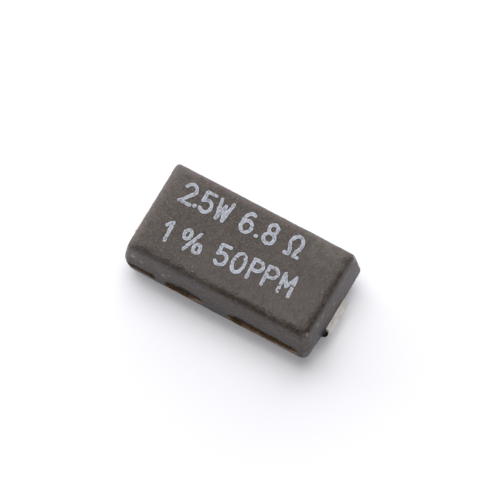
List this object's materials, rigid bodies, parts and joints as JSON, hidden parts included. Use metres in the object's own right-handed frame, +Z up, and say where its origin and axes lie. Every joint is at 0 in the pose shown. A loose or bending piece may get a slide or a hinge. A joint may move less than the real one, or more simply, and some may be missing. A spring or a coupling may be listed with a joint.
{
  "type": "moulded surface-mount resistor",
  "caption": "Rectangular wirewound power resistor: a drafted dark moulding with a flash line, a printed value and J-bent tinned strap terminals under its ends.",
  "frame": {"origin": "on the solder plane, under the middle of the moulding's length and width", "axes": "+X along the body from the left terminal to the right one, +Y across it towards the back, +Z up through the printed top face"},
  "size_m": [0.0124, 0.0064, 0.0041],
  "materials": {
    "moulding_compound": "fine matt grain of a silica-filled moulding compound, with a few pale specks and worn edges",
    "tinned_strap": "satin tin plate, slightly uneven at the bends",
    "core_ceramic": "unglazed fired ceramic",
    "resistance_alloy": "drawn and rolled nickel-chromium ribbon",
    "plated_cap": "dull nickel plate on pressed steel",
    "marking_ink": "thin pale blue-grey ink, worn through in places"
  },
  "bodies": {
    "root": {"moulded_body": "moulding_compound", "terminal_left": "tinned_strap", "terminal_right": "tinned_strap", "ceramic_core": "core_ceramic", "resistance_winding": "resistance_alloy", "end_cap_left": "plated_cap", "end_cap_right": "plated_cap"}
  },
  "joints": []
}
